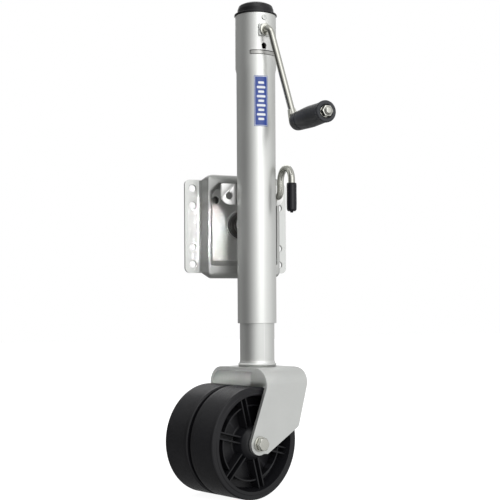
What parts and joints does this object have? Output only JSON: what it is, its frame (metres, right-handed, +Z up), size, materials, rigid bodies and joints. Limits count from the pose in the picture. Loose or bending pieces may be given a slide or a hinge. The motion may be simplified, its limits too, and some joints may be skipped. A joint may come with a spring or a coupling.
{
  "type": "trailer tongue jack",
  "caption": "Swing-away trailer tongue jack with a telescoping tube, side crank, bolt-on swivel bracket, lock pin and a twin-wheel swivel caster.",
  "frame": {"origin": "point where the swivel pivot axis crosses the mounting plane, which is the back of the bolt-on bracket", "axes": "+Z up along the jack tube, +Y out of the back of the bracket towards the trailer tongue, X along the tongue; the crank and the wheels are on the -Y side of the bracket"},
  "size_m": [0.225, 0.2359, 0.7169],
  "materials": {
    "silver_paint": "silver-grey paint with a soft gloss over steel",
    "zinc_plate": "zinc-plated fasteners, light grey and bright",
    "bright_zinc": "bright zinc plating on bent steel rod, near mirror with dark olive reflections",
    "steel": "plain turned or stamped steel, oiled",
    "dark_steel": "black-oxide steel, greased",
    "spring_steel": "drawn spring steel",
    "bronze": "sintered bronze",
    "black_plastic": "black moulded plastic, satin",
    "grip_rubber": "dark charcoal moulded plastic, matt",
    "vinyl": "glossy black dipped vinyl",
    "wheel_plastic": "charcoal moulded polypropylene, smooth tread",
    "nylon": "natural nylon",
    "label_face": "blue printed label with a pale border and plain pale bars, no lettering"
  },
  "bodies": {
    "frame_bracket": {"mount_bracket": "silver_paint", "bracket_back_plate": "silver_paint", "pivot_bushing": "dark_steel"},
    "jack_tube": {"outer_tube": "silver_paint", "swivel_bracket": "silver_paint", "pivot_wave_washer": "dark_steel", "pivot_post": "dark_steel", "pivot_washer": "zinc_plate", "pivot_nut": "zinc_plate", "top_cap": "black_plastic", "cap_rivet": "zinc_plate", "thrust_plate": "steel", "front_crank_bushing": "zinc_plate", "rear_crank_bushing": "bronze", "label_plate": "label_face", "thrust_race_lower": "steel", "lock_pin_spring": "spring_steel"},
    "crank": {"crank_handle": "bright_zinc", "shaft_clip": "spring_steel", "shaft_stop_collar": "zinc_plate", "grip_washer_inner": "zinc_plate", "grip_washer_outer": "zinc_plate", "grip_bolt": "bright_zinc", "crank_gear": "steel", "crank_gear_pin": "steel"},
    "grip": {"crank_grip": "grip_rubber"},
    "screw": {"drive_screw": "steel", "thrust_ball_cage": "steel", "thrust_race_upper": "steel", "screw_gear": "steel", "screw_gear_pin": "steel"},
    "lift_tube": {"inner_tube": "silver_paint", "drive_nut": "bronze", "nut_pin_front": "steel", "nut_pin_rear": "steel", "swivel_collar": "silver_paint", "swivel_floor_plate": "steel"},
    "caster": {"caster_yoke": "silver_paint", "kingpin": "zinc_plate", "axle_bolt": "zinc_plate", "axle_nut": "zinc_plate", "wheel_spacer": "steel", "axle_washer_near": "zinc_plate", "axle_washer_far": "zinc_plate", "wheel_washer_near": "nylon", "wheel_washer_far": "nylon", "swivel_race": "zinc_plate"},
    "near_wheel": {"wheel_near": "wheel_plastic", "wheel_bushing_near": "nylon"},
    "far_wheel": {"wheel_far": "wheel_plastic", "wheel_bushing_far": "nylon"},
    "lock": {"lock_pin": "bright_zinc", "lock_pin_clip": "spring_steel", "lock_pin_grip": "vinyl"}
  },
  "joints": [
    {"name": "jack_swivel", "type": "hinge", "parent": "frame_bracket", "child": "jack_tube", "pos_m": [0, 0, 0], "axis": [0, 1, 0], "range_deg": [-90, 90]},
    {"name": "crank_turn", "type": "hinge", "parent": "jack_tube", "child": "crank", "pos_m": [0, -0.08, 0.277], "axis": [0, -1, 0], "range_deg": [0, 14400]},
    {"name": "grip_spin", "type": "hinge", "parent": "crank", "child": "grip", "pos_m": [0.039, -0.18, 0.14275], "axis": [0, 1, 0], "continuous": true},
    {"name": "screw_turn", "type": "hinge", "parent": "jack_tube", "child": "screw", "pos_m": [0, -0.08, 0.1], "axis": [0, 0, 1], "range_deg": [0, 14400]},
    {"name": "lift_slide", "type": "slide", "parent": "jack_tube", "child": "lift_tube", "axis": [0, 0, -1], "range_m": [0, 0.254]},
    {"name": "caster_swivel", "type": "hinge", "parent": "lift_tube", "child": "caster", "pos_m": [0, -0.08, -0.21], "axis": [0, 0, 1], "continuous": true},
    {"name": "near_wheel_spin", "type": "hinge", "parent": "caster", "child": "near_wheel", "pos_m": [-0.04931, -0.0965, -0.3152], "axis": [0.3173, -0.9483, 0], "continuous": true},
    {"name": "far_wheel_spin", "type": "hinge", "parent": "caster", "child": "far_wheel", "pos_m": [-0.04931, -0.0965, -0.3152], "axis": [0.3173, -0.9483, 0], "continuous": true},
    {"name": "lock_pin_pull", "type": "slide", "parent": "jack_tube", "child": "lock", "axis": [0, -1, 0], "range_m": [0, 0.014], "stiffness_N_per_m": 500, "deforming": ["lock_pin_spring"]}
  ],
  "couplings": [
    {"joint": "screw_turn", "follows": "crank_turn", "ratio": 1},
    {"joint": "lift_slide", "follows": "crank_turn", "m_per_rad": 0.0010106}
  ]
}
